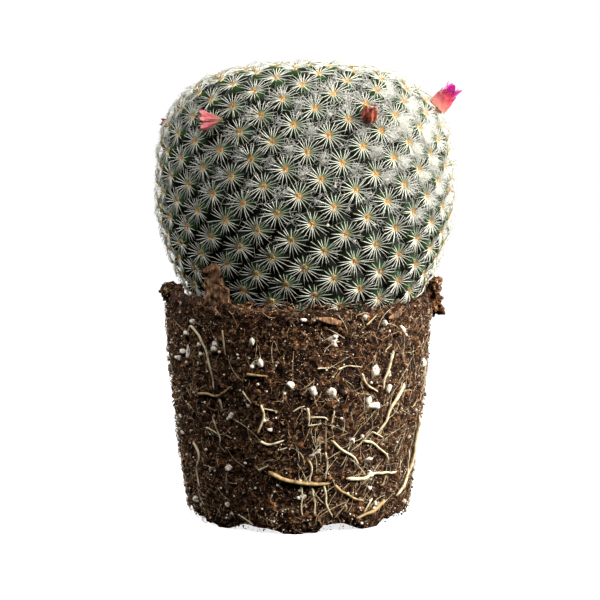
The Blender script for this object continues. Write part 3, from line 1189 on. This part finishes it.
def blade(turn, length, seed, start, radius, width, flare, tip, thick, frill):
    """A pointed blade rolled round the flower's axis, closed all round.

    It starts start mm up the axis. Rows run from tip to foot; each ring is an ellipse thick mm
    through, bent round the axis. Its half width is width * sin(pi * (0.18 + 0.82 t)) ** tip, its
    radius is radius + flare * t**3, and its edges wave by frill."""
    t = np.linspace(0.992, 0.0, 26)[:, None]
    phase = -np.arange(28) * 2 * math.pi / 28
    half_width = width * np.sin(math.pi * (0.18 + 0.82 * t)) ** tip
    out = radius + flare * t**3 + 0.5 * thick * np.sin(phase)
    out = out + frill * np.sin(9 * t + seed) * np.cos(phase) ** 2
    angle = turn + np.cos(phase) * half_width / np.maximum(radius, 0.6)
    rings = along_axis(FLOWER_FOOT, flower_axes, start + length * t + 0 * phase, out, angle)
    ends = rings[0].mean(axis=0), rings[-1].mean(axis=0)
    points, faces = turned_surface(rings, *ends)
    edge = np.append(np.abs(np.cos(phase)) + 0 * t, [0.9, 0.0])
    return points, faces, {"way": np.append(t + 0 * phase, [1.0, 0.0]), "edge": edge}


def joined(parts):
    """Several (points, faces, attributes) as one."""
    points, quads, fans, count = [], [], [], 0
    for part_points, (part_quads, part_fans), _ in parts:
        points.append(part_points)
        quads.append(part_quads + count)
        fans.append(part_fans + count)
        count += len(part_points)
    keys = parts[0][2]
    merged = {key: np.concatenate([part[2][key] for part in parts]) for key in keys}
    return np.concatenate(points), [np.concatenate(quads), np.concatenate(fans)], merged


# Flower tissue: thin, moist and slightly see-through. Greenish at the foot, then salmon, and crimson
# at the mouth.
tube_tissue, tree, shader = new_material(
    "flower_tube_tissue", Roughness=0.45, Subsurface_Weight=0.25, Subsurface_Scale=0.6 * MM
)
tube_stops = ((0.0, "8FA05A"), (0.35, "D98A74"), (0.75, "E0786E"), (1.0, "C8405A"))
graded(tree, tube_stops, attribute(tree, "way"), shader)
flower_tube = mesh_piece(
    "flower_tube_tissue", tube_points, tube_faces, tube_tissue, {"way": tube_share}
)
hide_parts("flower_tube")

# Sepals: the same tissue, thicker, in two rows set half a step apart, darkest at their points.
around = 2 * math.pi / SEPALS
sepal_parts = []
for k in range(SEPALS):
    turn, length = k * around + 0.3, 4.6 + 0.6 * (k % 3)
    sepal_parts.append(blade(turn, length, k, **BLADES["lower_sepal"]))
for k in range(SEPALS):
    turn, length = k * around + 0.8, 5.0 + 0.5 * (k % 2)
    sepal_parts.append(blade(turn, length, k, **BLADES["upper_sepal"]))
sepal_tissue, tree, shader = new_material(
    "sepal_tissue", Roughness=0.5, Subsurface_Weight=0.2, Subsurface_Scale=0.5 * MM
)
sepal_stops = ((0.0, "D9907C"), (0.4, "E2837A"), (0.75, "C9344E"), (1.0, "8E1238"))
graded(tree, sepal_stops, attribute(tree, "way"), shader)
sepal_points, sepal_faces, sepal_marks = joined(sepal_parts)
sepals = mesh_piece("sepals", sepal_points, sepal_faces, sepal_tissue, sepal_marks)

# Petals: silky, so a soft sheen; magenta with a crimson foot and purple where they curl over.
petal_tissue, tree, shader = new_material(
    "petal_tissue",
    Roughness=0.4,
    Subsurface_Weight=0.3,
    Subsurface_Scale=0.5 * MM,
    Sheen_Weight=0.2,
)
petal_stops = ((0.0, "C03048"), (0.35, "C2145E"), (0.65, "D41C98"), (1.0, "E23AB4"))
petal_colour = graded(tree, petal_stops, attribute(tree, "way"))
edge_stops = ((0.7, "FFFFFF"), (0.97, "8A3C92"))
edge_colour = graded(tree, edge_stops, attribute(tree, "edge"))
petal_shade = mixed_colour(tree, "MULTIPLY", 1.0, petal_colour, edge_colour)
tree.links.new(petal_shade, shader.inputs["Base Color"])
petals = {}
for k in range(OUTER_PETALS):
    turn, length = math.radians(72 * k + 10), 6.7 + 0.4 * (k % 3)
    petals[f"petal_outer_{k + 1}"] = blade(turn, length, k, **BLADES["outer_petal"])
for k in range(INNER_PETALS):
    turn, length = math.radians(120 * k + 50), 6.8
    petals[f"petal_inner_{k + 1}"] = blade(turn, length, k, **BLADES["inner_petal"])
for node, (points, faces, marks) in petals.items():
    piece = mesh_piece(node + "_tissue", points, faces, petal_tissue, marks)
    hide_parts(node)

# ---------------------------------------------------------------- spent flowers
# Three older flowers that have dried on the plant: shrunken tubes pleated lengthwise, with a ragged
# open end. The left one is still pink; the others have turned to rust.

# Each: direction, way and radius in mm from foot to mouth, pleats, twist, colour.
SPENT = {
    "dried_flower_left": (
        (-0.993, -0.116, -0.039),
        (0, 1.6, 3.4, 5.6, 7.2), (0.5, 1.0, 1.8, 2.6, 2.9), 7, 0.25, "pink",
    ),
    "dried_flower_right": (
        (0.219, -0.525, 0.822),
        (0, 1.0, 2.5, 3.8, 5.7), (1.0, 1.7, 2.3, 2.2, 1.7), 6, 0.35, "rust",
    ),
    "dried_flower_edge": (
        (-0.938, -0.030, 0.346),
        (0, 1.2, 2.2, 3.0, 4.2), (0.4, 0.8, 1.3, 1.3, 1.0), 5, 0.3, "rust",
    ),
}
# Withered petal tissue: papery and matt, blotched, dull at the foot and reddest towards the mouth.
SPENT_COLOURS = {
    "pink": ((0.0, "5C5828"), (0.3, "7C3A32"), (0.7, "9C4248"), (1.0, "B86A68")),
    "rust": ((0.0, "4A2016"), (0.4, "842F1C"), (0.75, "AC5630"), (1.0, "701420")),
}
spent_made = {}
for colour, stops in SPENT_COLOURS.items():
    spent_made[colour], tree, shader = new_material(
        f"withered_{colour}_petal", Roughness=0.75, Sheen_Weight=0.15
    )
    blotched = maths(tree, "ADD", noise(tree, 1.3 * MM, 4.0), attribute(tree, "way"))
    graded(tree, stops, maths(tree, "SUBTRACT", blotched, 0.55), shader)

for node, (direction, way, radius, pleats, twist, colour) in SPENT.items():
    low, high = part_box(node)
    axes = axis_frame(direction)
    foot = np.array(0.5 * (low + high)) - 0.5 * way[-1] * MM * axes[0]
    ring_way = np.linspace(way[-1], 0.1, 44)[:, None]
    turn = np.arange(84) * 2 * math.pi / 84
    share = ring_way / way[-1]
    ragged = share**6 * (0.5 * np.cos(pleats * turn + 1.0) + 0.3 * np.cos(3 * turn))
    pleat = 1 + (0.06 + 0.20 * share) * np.cos(pleats * turn + twist * ring_way)
    pleat = pleat + 0.05 * np.cos(17 * turn - 0.8 * ring_way)
    ring_radius = np.interp(ring_way, way, radius) * pleat
    rings = along_axis(foot, axes, ring_way + ragged, ring_radius, turn + 0 * ring_way)
    mouth = foot + (0.45 * way[-1]) * MM * axes[0]
    inner_share = np.array([0.15, 0.5, 0.8])[:, None, None]
    lip = mouth + (rings[0] * 0.94 + 0.06 * rings[0].mean(axis=0) - mouth) * inner_share
    points, faces = turned_surface(np.concatenate([lip, rings]), mouth, foot)
    lip_mark = np.full(lip.shape[:2], 0.2)
    mark = np.append(np.concatenate([lip_mark, share + 0 * turn]), [0, 0])
    piece = mesh_piece(node + "_petals", points, faces, spent_made[colour], {"way": mark})
    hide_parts(node)
